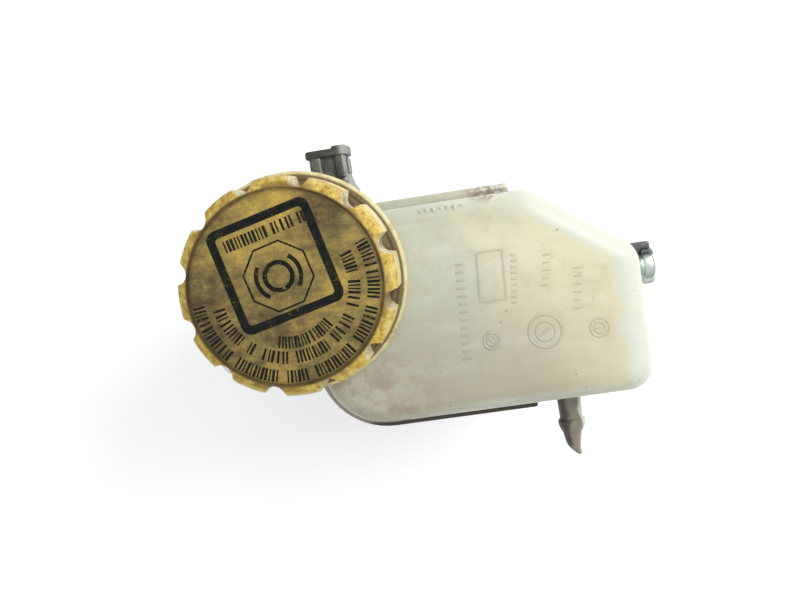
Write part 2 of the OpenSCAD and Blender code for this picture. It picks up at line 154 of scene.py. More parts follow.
def fillet(points, steps=5, inset=None):
    """Rounds a closed outline's corners: each point is x, y and, if it is to be rounded, a radius.

    inset moves an outline that is round at every corner inwards.
    """
    out = []
    for i, p in enumerate(points):
        here = Vector(p[:2])
        if len(p) < 3 or p[2] <= 0:
            out.append(tuple(here))
            continue
        a = (Vector(points[i - 1][:2]) - here).normalized()
        b = (Vector(points[(i + 1) % len(points)][:2]) - here).normalized()
        half = a.angle(b) / 2
        centre = here + (a + b).normalized() * (p[2] / math.sin(half))
        reach = p[2] / math.tan(half)
        first, last = here + a * reach - centre, here + b * reach - centre
        turn = math.pi - 2 * half
        for k in range(steps + 1):
            t = k / steps
            spoke = (first * math.sin((1 - t) * turn) + last * math.sin(t * turn)) / math.sin(turn)
            if inset is not None:
                spoke = spoke.normalized() * (p[2] - inset)
            out.append(tuple(centre + spoke))
    return out


def revolve(profile, place, n, shape=None):
    """Turns a closed outline of (r, h) about an axis. shape(r, h, angle) may change a point's radius."""
    verts, rings, faces = [], [], []
    for r, h in profile:
        start = len(verts)
        if r < 1e-6:
            verts.append(place(0, h, 1, 0))
            rings.append([start] * n)
            continue
        for k in range(n):
            angle = TAU * k / n
            rr = shape(r, h, angle) if shape else r
            verts.append(place(rr, h, math.cos(angle), math.sin(angle)))
        rings.append([start + k for k in range(n)])
    for i in range(len(rings)):
        a, b = rings[i], rings[(i + 1) % len(rings)]
        for k in range(n):
            q = [a[k], a[(k + 1) % n], b[(k + 1) % n], b[k]]
            face = [v for j, v in enumerate(q) if v != q[j - 1]]
            if len(face) > 2:
                faces.append(face)
    return verts, faces


def loft(rings):
    """Closed solid through rings of the same number of points."""
    n = len(rings[0])
    verts = [tuple(p) for ring in rings for p in ring]
    faces = [[i * n + k, i * n + (k + 1) % n, (i + 1) * n + (k + 1) % n, (i + 1) * n + k]
             for i in range(len(rings) - 1) for k in range(n)]
    faces += [list(range(n))[::-1], [(len(rings) - 1) * n + k for k in range(n)]]
    return verts, faces


def hoop(outer, inner, z0, z1):
    """Closed frame between two outlines with the same number of points."""
    n = len(outer)
    verts = [(x, y, z) for z in (z0, z1) for loop in (outer, inner) for x, y in loop]
    faces = []
    for k in range(n):
        j = (k + 1) % n
        faces += [[k, j, n + j, n + k], [2 * n + k, 3 * n + k, 3 * n + j, 2 * n + j],
                  [k, 2 * n + k, 2 * n + j, j], [n + k, n + j, 3 * n + j, 3 * n + k]]
    return verts, faces


def offset(points, d):
    """A counter-clockwise outline moved inwards by d."""
    out = []
    for i, p in enumerate(points):
        a = (Vector(p) - Vector(points[i - 1])).normalized()
        b = (Vector(points[(i + 1) % len(points)]) - Vector(p)).normalized()
        normal = Vector((-a.y - b.y, a.x + b.x))
        scale = 2 / max(normal.length_squared, 0.5)
        out.append((p[0] + normal.x * scale * d, p[1] + normal.y * scale * d))
    return out


def slab(outline, z0, z1, edge, lift, steps=3):
    """Plate with rounded rims. lift(x, y, z) places a point of the outline at height z."""
    levels = [(z0 + edge * (1 - math.cos(t)), edge * (1 - math.sin(t)))
              for t in (math.pi / 2 * k / steps for k in range(steps + 1))]
    levels += [(z0 + z1 - z, d) for z, d in reversed(levels)]
    return loft([[lift(x, y, z) for x, y in offset(outline, d)] for z, d in levels])


def upright(x, y, z):
    return (x, y, z)


def lying(x, y, z):
    """An outline in Y and Z, with its thickness along X."""
    return (z, x, y)


def block(low, high, edge):
    (x0, y0, z0), (x1, y1, z1) = low, high
    corner = min(edge * 1.2, (x1 - x0) / 2.2, (y1 - y0) / 2.2)
    outline = fillet([(x0, y0, corner), (x1, y0, corner), (x1, y1, corner), (x0, y1, corner)], 3)
    return slab(outline, z0, z1, min(edge, corner * 0.8, (z1 - z0) / 2.5), upright)


def rod(place, r, h0, h1, edge=0.0, n=64):
    if edge > 0:
        return revolve(fillet([(0, h0), (r, h0, edge), (r, h1, edge), (0, h1)], 3), place, n)
    return revolve([(0, h0), (r, h0), (r, h1), (0, h1)], place, n)


def tube(place, r0, r1, h0, h1, edge, n):
    return revolve(fillet([(r0, h0, edge), (r1, h0, edge), (r1, h1, edge), (r0, h1, edge)], 3), place, n)


def helix(centre, root_r, crest_r, root_w, crest_w, z0, start, sweep, pitch):
    """Screw ridge, with ends that fade into its root."""
    steps = int(sweep / 5)
    rings = []
    for i in range(steps + 1):
        a = math.radians(start + sweep * i / steps)
        z = z0 + pitch * sweep * i / steps / 360
        k = max(0.05, min(1, i / 7, (steps - i) / 7))
        crest = root_r + (crest_r - root_r) * k
        section = [(root_r, -root_w / 2), (crest, -crest_w / 2), (crest, crest_w / 2), (root_r, root_w / 2)]
        c, s = math.cos(a), math.sin(a)
        rings.append([(centre[0] + r * c, centre[1] + r * s, z + h) for r, h in section])
    return loft(rings)


# ---------- Objects ----------


def build(name, parts, material):
    """One Blender object from a list of closed shapes, still in millimetres."""
    mesh = bpy.data.meshes.new(name)
    verts, faces = [], []
    for part_verts, part_faces in parts:
        start = len(verts)
        verts += part_verts
        faces += [[v + start for v in f] for f in part_faces]
    mesh.from_pydata(verts, [], faces)
    if material:
        mesh.materials.append(material)
    bm = bmesh.new()
    bm.from_mesh(mesh)
    bmesh.ops.recalc_face_normals(bm, faces=bm.faces)
    bm.to_mesh(mesh)
    bm.free()
    obj = bpy.data.objects.new(name, mesh)
    bpy.context.collection.objects.link(obj)
    return obj


def bake_modifiers(obj):
    graph = bpy.context.evaluated_depsgraph_get()
    mesh = bpy.data.meshes.new_from_object(obj.evaluated_get(graph))
    obj.modifiers.clear()
    obj.data = mesh


def combine(obj, parts, operation, material=None):
    """Joins shapes to an object, or cuts them from it."""
    tool = build("tool", parts, material)
    step = obj.modifiers.new("combine", "BOOLEAN")
    step.object = tool
    step.operation = operation
    step.solver = "EXACT"
    step.use_self = True
    if material:
        step.material_mode = "TRANSFER"
    bake_modifiers(obj)
    bpy.data.objects.remove(tool)


def settle(obj, body, nodes=(), sharp=32):
    """Scales a finished piece to metres, shades it and fixes it to its CAD body."""
    mesh = obj.data
    mesh.transform(Matrix.Scale(MM, 4))
    mesh.shade_smooth()
    mesh.set_sharp_from_angle(angle=math.radians(sharp))
    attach(obj, body)
    if nodes:
        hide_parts(*nodes)
    return obj


# ---------- Materials ----------


class Paint:
    """A procedural material whose patterns are laid out in millimetres."""

    def __init__(self, name):
        self.material = bpy.data.materials.new(name)
        self.material.use_nodes = True
        self.tree = self.material.node_tree
        self.shader = self.tree.nodes["Principled BSDF"]
        coord = self.node("ShaderNodeTexCoord")
        self.point = self.vector("SCALE", coord.outputs["Object"], scale=1 / MM)
        split = self.node("ShaderNodeSeparateXYZ")
        self.link(self.point, split.inputs[0])
        self.x, self.y, self.z = split.outputs

    def node(self, kind, **settings):
        made = self.tree.nodes.new(kind)
        for key, value in settings.items():
            setattr(made, key, value)
        return made

    def link(self, source, target):
        if isinstance(source, bpy.types.NodeSocket):
            self.tree.links.new(source, target)
        elif isinstance(source, (tuple, list)) and len(source) == 3 and target.type == "RGBA":
            target.default_value = (*source, 1)
        else:
            target.default_value = source

    def vector(self, operation, a, b=None, scale=None):
        n = self.node("ShaderNodeVectorMath", operation=operation)
        self.link(a, n.inputs[0])
        if b is not None:
            self.link(b, n.inputs[1])
        if scale is not None:
            n.inputs["Scale"].default_value = scale
        return n.outputs["Value"] if operation in ("LENGTH", "DISTANCE", "DOT_PRODUCT") else n.outputs[0]

    def math(self, operation, a, b, clamp=False):
        n = self.node("ShaderNodeMath", operation=operation, use_clamp=clamp)
        self.link(a, n.inputs[0])
        self.link(b, n.inputs[1])
        return n.outputs[0]

    def noise(self, size, detail, rough, stretch=None, shift=0.0, warp=0.0):
        """Cloudy pattern with features about size millimetres across."""
        place = self.vector("MULTIPLY", self.point, stretch) if stretch else self.point
        if shift:
            place = self.vector("ADD", place, (shift, shift * 0.7, -shift))
        n = self.node("ShaderNodeTexNoise")
        self.link(place, n.inputs["Vector"])
        n.inputs["Scale"].default_value = 1 / size
        n.inputs["Detail"].default_value = detail
        n.inputs["Roughness"].default_value = rough
        n.inputs["Distortion"].default_value = warp
        return n.outputs[0]

    def cells(self, size):
        """Distance to the nearest of a scatter of points about size millimetres apart."""
        n = self.node("ShaderNodeTexVoronoi")
        self.link(self.point, n.inputs["Vector"])
        n.inputs["Scale"].default_value = 1 / size
        return n.outputs["Distance"]

    def occlusion_shade(self, reach):
        """Painted shade from ambient occlusion: 1 in corners and grooves narrower than reach millimetres, 0
        on open surfaces.
        """
        n = self.node("ShaderNodeAmbientOcclusion", samples=8)
        n.inputs["Distance"].default_value = reach * MM
        return self.math("SUBTRACT", 1.0, n.outputs["AO"], clamp=True)

    def times(self, *factors):
        """Product of several masks."""
        out = factors[0]
        for factor in factors[1:]:
            out = self.math("MULTIPLY", out, factor)
        return out

    def blend(self, *layers):
        """Sum of (pattern, weight) pairs."""
        out = self.math("MULTIPLY", layers[0][0], layers[0][1])
        for pattern, weight in layers[1:]:
            out = self.math("ADD", out, self.math("MULTIPLY", pattern, weight))
        return out

    def spot(self, x, y, size, soft, stretch=(1, 1)):
        """Soft patch seen from above, centred on x, y."""
        flat = self.vector("MULTIPLY", self.point, (stretch[0], stretch[1], 0))
        away = self.vector("DISTANCE", flat, (x * stretch[0], y * stretch[1], 0))
        return self.span(away, size + soft, size)

    def span(self, value, low, high, out_low=0.0, out_high=1.0):
        """Maps value from low..high to out_low..out_high, smoothly and clamped."""
        n = self.node("ShaderNodeMapRange", interpolation_type="SMOOTHSTEP")
        for key, v in (("Value", value), ("From Min", low), ("From Max", high), ("To Min", out_low),
                       ("To Max", out_high)):
            self.link(v, n.inputs[key])
        return n.outputs[0]

    def ramp(self, value, stops):
        n = self.node("ShaderNodeValToRGB")
        self.link(value, n.inputs[0])
        elements = n.color_ramp.elements
        while len(elements) < len(stops):
            elements.new(0.5)
        for e, (place, colour) in zip(elements, stops):
            e.position = place
            e.color = (*colour, 1)
        return n.outputs[0]

    def mix(self, share, a, b):
        n = self.node("ShaderNodeMix", data_type="RGBA")
        self.link(share, n.inputs[0])
        self.link(a, n.inputs[6])
        self.link(b, n.inputs[7])
        return n.outputs[2]

    def bump(self, *heights):
        """Adds up (height, depth in millimetres) pairs as bumps."""
        normal = None
        for height, depth in heights:
            n = self.node("ShaderNodeBump")
            n.inputs["Strength"].default_value = 1.0
            n.inputs["Distance"].default_value = depth * MM
            self.link(height, n.inputs["Height"])
            if normal is not None:
                self.link(normal, n.inputs["Normal"])
            normal = n.outputs[0]
        self.link(normal, self.shader.inputs["Normal"])

    def set(self, **values):
        """Sets the shader's own sockets, by name with _ for a space."""
        for key, value in values.items():
            self.link(value, self.shader.inputs[key.replace("_", " ")])


def srgb(r, g, b):
    return tuple((c / 255 / 12.92) if c < 10.4 else ((c / 255 + 0.055) / 1.055) ** 2.4 for c in (r, g, b))


CAP_AXIS = (26.4, 14.1)


def radius_from_cap(p):
    flat = p.vector("MULTIPLY", p.point, (1, 1, 0))
    return p.vector("DISTANCE", flat, (*CAP_AXIS, 0))


# Patches of the cap's face: x, y, size, soft edge, and how much browner they are, or yellower below nought
CAP_PATCHES = ((39.1, 30.7, 2.0, 6.0, 0.08), (5.5, 14.0, 3.0, 7.0, 0.03), (25.4, 17.2, 2.0, 8.0, 0.06),
               (12.0, 4.0, 4.0, 8.0, 0.03), (24.5, 35.5, 4.0, 8.0, -0.10), (42.0, 9.0, 3.0, 8.0, -0.04))


def cap_paint():
    p = Paint("cap_yellow")
    r = radius_from_cap(p)
    cloud = p.noise(12, 5, 0.62, warp=0.6)
    blotch = p.noise(4.0, 6, 0.68, shift=31)
    fine = p.noise(0.7, 4, 0.7, shift=7)
    streak = p.noise(2.2, 4, 0.6, stretch=(0.25, 1.3, 1), shift=55)
    runs = p.noise(1.5, 4, 0.6, stretch=(1, 1, 0.12), shift=12)
    mixed = p.blend((cloud, 0.46), (blotch, 0.34), (streak, 0.20))
    # The flat face is brownest in a few thumbed patches and yellowest near its upper edge
    for x, y, size, soft, depth in CAP_PATCHES:
        mixed = p.math("SUBTRACT", mixed, p.math("MULTIPLY", p.spot(x, y, size, soft), depth))
    top = p.ramp(mixed, [(0.38, srgb(86, 72, 46)), (0.45, srgb(114, 98, 60)), (0.51, srgb(140, 122, 68)),
                         (0.58, srgb(168, 146, 74)), (0.66, srgb(192, 164, 78))])
    sided = p.blend((runs, 0.45), (blotch, 0.25), (cloud, 0.30))
    side = p.ramp(sided, [(0.38, srgb(150, 118, 50)), (0.45, srgb(196, 164, 70)), (0.52, srgb(218, 192, 96)),
                          (0.62, srgb(232, 214, 142))])
    colour = p.mix(p.span(r, 24.7, 25.6), top, side)
    # The upright side of the skirt and the lip are worn paler than the crown
    pale = p.times(p.span(p.z, 71.5, 66.0), p.span(blotch, 0.36, 0.56, 0.45, 0.85))
    colour = p.mix(pale, colour, srgb(232, 221, 178))
    # Scooped grip notches: only they lie inside the skirt's radius below the crown
    hollow = p.times(p.span(r, 27.75, 27.3), p.span(p.z, 73.4, 72.0), p.span(r, 24.2, 24.6))
    colour = p.mix(p.times(hollow, 0.85), colour, srgb(232, 226, 188))
    scuffs = p.span(p.noise(1.6, 4, 0.6, shift=5), 0.50, 0.62)
    colour = p.mix(p.times(hollow, scuffs, 0.6), colour, srgb(150, 140, 112))
    # Painted shadow on the lip's top at the notch floors, partly dirt, and painted shade along the groove
    # above the lip
    floor = p.times(p.span(p.z, 58.2, 56.6), p.span(r, 27.6, 27.2), p.span(r, 24.2, 24.6))
    groove_shade = p.times(p.span(p.z, 57.3, 56.7), p.span(p.z, 55.9, 56.15), p.span(r, 26.6, 27.0))
    # Grime: a line round the flat face, a smeared band on the crown and specks; painted shade, with some
    # grime, in every corner
    edge = p.times(p.span(r, 23.3, 24.5), p.span(r, 25.4, 24.8), p.span(blotch, 0.34, 0.56, 0.35, 1.0))
    crown = p.times(p.span(r, 24.6, 25.2), p.span(r, 27.0, 25.6), p.span(cloud, 0.44, 0.56))
    specks = p.times(p.span(p.cells(2.3), 0.17, 0.05), p.span(p.noise(6, 3, 0.6, shift=90), 0.54, 0.66))
    # Painted shade in every corner, from ambient occlusion
    corners = p.span(p.occlusion_shade(2.5), 0.36, 0.80)
    for share, strength, tone in ((crown, 0.70, srgb(108, 80, 36)), (edge, 0.70, srgb(66, 50, 30)),
                                  (specks, 0.65, srgb(64, 50, 32)), (corners, 0.45, srgb(96, 76, 42)),
                                  (floor, 0.80, srgb(92, 74, 48)), (groove_shade, 0.80, srgb(84, 64, 36))):
        colour = p.mix(p.times(share, strength), colour, tone)
    colour = p.mix(p.span(fine, 0.40, 0.72, 0.0, 0.30), colour, srgb(64, 52, 32))
    p.set(Base_Color=colour, Roughness=p.span(mixed, 0.40, 0.60, 0.72, 0.48), Specular_IOR_Level=0.28)
    p.bump((fine, 0.05), (blotch, 0.10), (specks, 0.05))
    return p.material


def ink_paint():
    p = Paint("cap_ink")
    worn = p.noise(0.55, 5, 0.75, shift=12)
    patch = p.noise(5, 3, 0.6, shift=70)
    share = p.math("MULTIPLY", p.span(worn, 0.50, 0.66), p.span(patch, 0.42, 0.66))
    colour = p.mix(p.noise(1.6, 4, 0.6), srgb(14, 18, 20), srgb(34, 36, 32))
    p.set(Base_Color=p.mix(share, colour, srgb(110, 94, 56)), Roughness=0.75, Specular_IOR_Level=0.12)
    p.bump((worn, 0.02))
    return p.material


def tank_paint():
    p = Paint("tank_plastic")
    cloud = p.noise(22, 4, 0.55, warp=0.4)
    blotch = p.noise(6, 5, 0.62, shift=21)
    fine = p.noise(0.8, 4, 0.65, shift=3)
    grain = p.noise(2.2, 4, 0.6, stretch=(0.3, 1.0, 1.0), shift=44)
    sweep = p.noise(7, 3, 0.5, stretch=(0.28, 1.0, 0.6), shift=81)
    # Greenish white towards the cap, beige where old fluid has stained it; the cap end is also darker as
    # painted shade, and the near side darker still, a painted shade away from the light
    across = p.math("ADD", p.x, p.math("MULTIPLY", p.math("SUBTRACT", cloud, 0.5), 60))
    body = p.mix(p.span(across, 62, 96), srgb(201, 204, 185), srgb(227, 221, 190))
    rise = p.math("ADD", p.y, p.math("MULTIPLY", p.math("SUBTRACT", blotch, 0.5), 16))
    near_side_shade = p.times(p.span(rise, 14, -30), p.span(p.x, 112, 84, 0.25, 0.85))
    body = p.mix(near_side_shade, body, srgb(172, 167, 146))
    body = p.mix(p.span(blotch, 0.42, 0.72, 0.0, 0.28), body, srgb(176, 166, 142))
    # Pale streaks along X from the sweep noise: a painted highlight
    body = p.mix(p.span(sweep, 0.50, 0.70, 0.0, 0.22), body, srgb(224, 228, 214))
    # Whiter along the far end, the slanted edge and the rounded rim of the roof: a painted highlight on the
    # edges that face the light
    slant = p.math("SUBTRACT", p.blend((p.x, 0.59), (p.y, 0.807)), 77.3)
    wobble = p.math("MULTIPLY", p.math("SUBTRACT", blotch, 0.5), 8)
    far_end = p.math("ADD", p.x, wobble)
    slant = p.math("ADD", slant, wobble)
    edges = p.math("MAXIMUM", p.span(far_end, 108.5, 113.5), p.span(slant, -9.0, -3.0))
    rim = p.times(p.span(p.z, 49.9, 49.0), p.span(p.z, 41.0, 44.0), p.span(p.x, 40, 80, 0.10, 0.45))
    body = p.mix(p.times(p.math("MAXIMUM", edges, rim), 0.80), body, srgb(219, 227, 215))
    # Reddish dust by the cap and the near side; the lip is painted greyer, darkest on the near side, partly a
    # grey tone and partly painted shade away from the light
    dust = p.times(p.span(p.x, 70, 44), p.span(p.y, -4, -18),
                   p.span(p.noise(5, 5, 0.65, shift=63), 0.44, 0.62))
    body = p.mix(p.times(dust, 0.40), body, srgb(142, 112, 98))
    lip = p.span(p.z, 41.6, 40.2)
    body = p.mix(p.times(lip, p.span(p.y, 8, -20, 0.10, 0.70)), body, srgb(150, 142, 138))
    # Darker round the plug's socket
    socket = p.times(p.span(p.y, 29.8, 31.0), p.span(p.x, 47, 45), p.span(p.z, 40, 37))
    body = p.mix(p.times(socket, 0.65), body, srgb(146, 144, 126))
    scuff = p.math("ADD", p.y, p.math("MULTIPLY", p.x, 0.05))
    scuff = p.times(p.span(scuff, -27.0, -26.8), p.span(scuff, -26.3, -26.5), p.span(p.x, 40.5, 42.0),
                    p.span(p.x, 50.5, 49.0), p.span(fine, 0.40, 0.50))
    stain = p.times(p.spot(80.5, 30.6, 1.0, 3.0, (0.45, 1)), p.span(p.z, 38.5, 40.0),
                    p.span(p.noise(2.2, 5, 0.62, shift=8), 0.40, 0.60))
    specks = p.times(p.span(p.cells(3.6), 0.16, 0.05), p.span(p.noise(9, 3, 0.6, shift=33), 0.50, 0.62))
    # Painted shade in the corners, from ambient occlusion, weaker on the roof
    corners = p.times(p.span(p.occlusion_shade(1.6), 0.40, 0.80), p.span(blotch, 0.40, 0.60, 0.35, 1.0),
                      p.span(p.z, 49.4, 48.6, 0.15, 1.0))
    for share, strength, tone in ((scuff, 0.75, srgb(70, 60, 54)), (stain, 0.75, srgb(112, 84, 70)),
                                  (specks, 0.50, srgb(104, 92, 74)), (corners, 0.50, srgb(110, 94, 78))):
        body = p.mix(p.times(share, strength), body, tone)
    # The nipple is grimy; its rear side is also darker as painted shade, and its front edge paler as a
    # painted highlight, on the side facing the light
    hose = p.span(p.y, -29.4, -31.0)
    along = p.math("ADD", p.x, p.math("MULTIPLY", p.math("SUBTRACT", blotch, 0.5), 5))
    nipple_shading_and_grime = p.mix(p.span(along, 93.4, 95.2), srgb(58, 48, 38), srgb(136, 132, 116))
    nipple_shading_and_grime = p.mix(p.span(along, 97.0, 98.2), nipple_shading_and_grime, srgb(216, 216, 204))
    body = p.mix(p.times(hose, 0.92), body, nipple_shading_and_grime)
    p.set(Base_Color=body, Roughness=p.span(blotch, 0.35, 0.7, 0.34, 0.55), IOR=1.5,
          Subsurface_Weight=p.span(hose, 0, 1, 0.35, 0.03), Subsurface_Scale=0.004)
    p.shader.inputs["Subsurface Radius"].default_value = (1.0, 0.95, 0.75)
    p.bump((cloud, 0.45), (sweep, 0.25), (grain, 0.06), (fine, 0.03))
    return p.material


def rubber_paint():
    p = Paint("seal_rubber")
    dust = p.noise(2.5, 5, 0.65)
    fine = p.noise(0.4, 3, 0.7, shift=9)
    dark = srgb(34, 34, 34)
    pale = tuple(c * 2.6 + 0.01 for c in dark)
    p.set(Base_Color=p.mix(p.span(dust, 0.42, 0.75), dark, pale), Roughness=p.span(dust, 0.4, 0.7, 0.5, 0.75))
    p.bump((fine, 0.03), (dust, 0.05))
    return p.material


def sensor_paint():
    p = Paint("sensor_plastic")
    dust = p.noise(5, 5, 0.65, shift=4)
    fine = p.noise(0.5, 4, 0.7, shift=9)
    # Faces turned towards the key light are painted paler: a painted highlight, broken up by the dust noise
    up = p.node("ShaderNodeNewGeometry").outputs["Normal"]
    facing = p.vector("DOT_PRODUCT", up, (0.75, 0.15, 0.64))
    share = p.math("MULTIPLY", p.span(facing, 0.55, 1.0), p.span(dust, 0.25, 0.6))
    colour = p.mix(p.span(dust, 0.35, 0.7), srgb(58, 59, 55), srgb(86, 85, 76))
    colour = p.mix(p.math("MULTIPLY", share, 0.75), colour, srgb(176, 182, 176))
    p.set(Base_Color=colour, Roughness=p.span(dust, 0.35, 0.7, 0.42, 0.62))
    p.bump((fine, 0.04), (dust, 0.08))
    return p.material


def cast_paint():
    p = Paint("cast_aluminium")
    cloud = p.noise(16, 4, 0.6, warp=0.5)
    grit = p.noise(0.55, 5, 0.72, shift=9)
    pits = p.span(p.cells(1.3), 0.30, 0.05)
    stain = p.noise(5, 6, 0.65, shift=40)
    colour = p.mix(p.span(cloud, 0.35, 0.68), srgb(126, 127, 126), srgb(166, 167, 165))
    colour = p.mix(p.math("MULTIPLY", p.span(stain, 0.50, 0.72), 0.55), colour, srgb(92, 82, 70))
    colour = p.mix(p.math("MULTIPLY", p.span(grit, 0.55, 0.75), 0.4), colour, srgb(196, 197, 194))
    p.set(Base_Color=colour, Metallic=0.75, Roughness=p.span(cloud, 0.35, 0.68, 0.62, 0.48))
    p.bump((grit, 0.12), (pits, 0.06), (stain, 0.08))
    return p.material


def machined_paint(name, axis, tone, rough=(0.22, 0.36), pitch=0.35):
    """Turned or faced metal, with tool lines at right angles to the axis."""
    p = Paint(name)
    stretch = [0.02, 0.02, 0.02]
    stretch["xyz".index(axis)] = 1.0
    lines = p.noise(pitch, 3, 0.5, stretch=tuple(stretch))
    haze = p.noise(6, 4, 0.6, shift=15)
    colour = p.mix(p.span(haze, 0.4, 0.7), srgb(*tone), srgb(*[int(c * 0.82) for c in tone]))
    p.set(Base_Color=colour, Metallic=1.0, Roughness=p.span(haze, 0.35, 0.7, *rough))
    p.bump((lines, 0.012), (haze, 0.02))
    return p.material


def nose_paint():
    """Turned metal with a painted reflection: a bright middle band between dull dark flanks."""
    p = Paint("bright_nose")
    haze = p.noise(5, 4, 0.6, shift=15)
    lines = p.noise(0.5, 3, 0.5, stretch=(1.0, 0.02, 0.02))
    # A bright band along the middle and dark flanks across Y: a painted reflection
    across = p.math("ADD", p.y, p.math("MULTIPLY", p.math("SUBTRACT", haze, 0.5), 2.5))
    middle = p.times(p.span(across, -6.2, -3.4), p.span(across, 3.9, 2.6))
    colour = p.mix(middle, srgb(104, 110, 107), srgb(226, 238, 230))
    # Painted shade in the corners and grooves, from ambient occlusion
    colour = p.mix(p.times(p.span(p.occlusion_shade(2.0), 0.40, 0.85), 0.5), colour, srgb(58, 56, 50))
    p.set(Base_Color=colour, Metallic=0.9, Roughness=p.span(haze, 0.35, 0.7, 0.26, 0.42))
    p.bump((lines, 0.012), (haze, 0.03))
    return p.material


def moulded_paint(name, tone, rough=0.5):
    p = Paint(name)
    haze = p.noise(5, 5, 0.6, shift=5)
    fine = p.noise(0.5, 4, 0.7)
    colour = p.mix(p.span(haze, 0.4, 0.7), srgb(*tone), srgb(*[int(c * 0.80) for c in tone]))
    p.set(Base_Color=colour, Roughness=p.span(haze, 0.35, 0.7, rough, rough + 0.15), Specular_IOR_Level=0.5)
    p.bump((fine, 0.03), (haze, 0.05))
    return p.material


CAP, INK, TANK = cap_paint(), ink_paint(), tank_paint()
RUBBER, SENSOR, CAST = rubber_paint(), sensor_paint(), cast_paint()
BRIGHT = nose_paint()
TURNED = machined_paint("turned_steel", "x", (196, 198, 198))
FACED = machined_paint("faced_aluminium", "x", (206, 207, 205), (0.26, 0.40))
WIRE = machined_paint("spring_wire", "x", (104, 106, 110), (0.30, 0.42), 0.8)
ZINC = machined_paint("zinc_plate", "y", (186, 178, 150), (0.30, 0.45))
GUIDE = moulded_paint("guide_plastic", (46, 46, 49))
NATURAL = moulded_paint("strainer_plastic", (226, 226, 214), 0.38)
FLOAT = moulded_paint("float_plastic", (206, 203, 184), 0.55)
FERRITE = moulded_paint("ferrite", (62, 62, 65), 0.6)
BRASS = machined_paint("tinned_contact", "y", (198, 180, 122), (0.25, 0.38))

# ---------- Filler cap ----------

NOTCHES = 12
NOTCH_START = math.radians(15)
NOTCH_CENTRE, NOTCH_R = 27.7, 2.6
SKIRT_R, LIP_TOP, CROWN_Z = 27.9, 56.2, 71.0
FACE_Z = 74.93


def notched(r, h, angle):
    """The skirt's radius with the grip notches cut in, and their edges softened."""
    if h < LIP_TOP + 0.35 or r < 23.5:
        return r
    step = TAU / NOTCHES
    off = abs((angle - NOTCH_START + step / 2) % step - step / 2)
    side = NOTCH_CENTRE * math.sin(off)
    if side < NOTCH_R:
        cut = NOTCH_CENTRE * math.cos(off) - math.sqrt(NOTCH_R ** 2 - side ** 2)
    else:
        cut = NOTCH_CENTRE + (side - NOTCH_R) * 1.6
    soft = 0.45
    k = max(0.0, min(1.0, 0.5 + 0.5 * (cut - r) / soft))
    return cut + (r - cut) * k - soft * k * (1 - k)


def cap_profile():
    lip = [(SKIRT_R + 1.6 * math.cos(math.radians(a)), 54.6 + 1.6 * math.sin(math.radians(a)))
           for a in range(-90, 91, 15)]
    crown = [(SKIRT_R - 4 + 4 * math.cos(math.radians(a)), CROWN_Z + 4 * math.sin(math.radians(a)))
             for a in range(0, 76, 6)]
    face = [(24.85, 74.80), (24.72, 74.55), (24.50, 74.52), (24.34, 74.78), (24.15, FACE_Z), (20, FACE_Z),
            (14, FACE_Z), (8, FACE_Z), (1.0, FACE_Z), (0.7, FACE_Z + 0.04), (0, FACE_Z + 0.05)]
    skirt = [(27.35, LIP_TOP + 0.02), (27.30, LIP_TOP + 0.30), (27.30, LIP_TOP + 0.40),
             (27.45, LIP_TOP + 0.70), (SKIRT_R, LIP_TOP + 1.1), (SKIRT_R, 60), (SKIRT_R, 64), (SKIRT_R, 68)]
    inside = [(0, 64.7), (2.2, 64.7), (3.1, 65.2), (3.1, 65.9), (2.5, 66.3), (2.5, 71.8), (3.1, 72.4),
              (17.6, 72.4), (17.9, 72.1), (18.1, 69.9), (20.3, 69.9), (20.5, 72.1), (20.8, 72.4),
              (22.6, 72.4), (23.05, 72.0), (23.05, 53.9), (23.4, 53.0)]
    return lip + skirt + crown + face + inside


def make_cap():
    cap = build("filler_cap_shell", [revolve(cap_profile(), along_z(*CAP_AXIS), 12 * 40, notched)], CAP)
    settle(cap, "filler_cap", ["filler_cap"], 40)
    ridge = helix(CAP_AXIS, 23.35, 21.5, 2.6, 1.2, 56.8, 290, 300, 6)
    settle(build("filler_cap_thread", [ridge], CAP), "filler_cap")


INK_LOW, INK_HIGH = FACE_Z - 0.02, FACE_Z + 0.045


def printed(outline):
    """Thin layer of ink from a closed outline round the cap's axis."""
    return loft([[(CAP_AXIS[0] + x, CAP_AXIS[1] + y, z) for x, y in outline] for z in (INK_LOW, INK_HIGH)])


def printed_band(centre, r0, r1, a0, a1, steps):
    """Arc of ink; a whole ring where it spans 360 degrees."""
    angles = [math.radians(a0 + (a1 - a0) * k / steps) for k in range(steps + 1)]
    outer = [(centre[0] + r1 * math.cos(a), centre[1] + r1 * math.sin(a)) for a in angles]
    inner = [(centre[0] + r0 * math.cos(a), centre[1] + r0 * math.sin(a)) for a in angles]
    if a1 - a0 < 359:
        return [printed(outer + inner[::-1])]
    return ring_of(outer[:-1], inner[:-1])


def ring_of(outer, inner):
    """Closed frame of ink between two outlines round the cap's axis."""
    placed = [[(CAP_AXIS[0] + x, CAP_AXIS[1] + y) for x, y in loop] for loop in (outer, inner)]
    return [hoop(*placed, INK_LOW, INK_HIGH)]


def turned_by(points, degrees, centre):
    c, s = math.cos(math.radians(degrees)), math.sin(math.radians(degrees))
    return [(centre[0] + x * c - y * s, centre[1] + x * s + y * c) for x, y in points]


def bar(x, y, half_w, half_h, angle):
    """Upright stroke whose height points along angle, in degrees."""
    return printed(turned_by([(-half_h, -half_w), (half_h, -half_w), (half_h, half_w), (-half_h, half_w)],
                             angle, (x, y)))


# Plain upright bars of one height in place of print. Each mark lists its bars by place across and half width,
# as shares of the mark's width.
MARKS = (((-0.27, 0.14), (0.27, 0.14)),
         ((-0.27, 0.10), (0.25, 0.18)),
         ((-0.25, 0.18), (0.27, 0.10)),
         ((0.0, 0.16),))


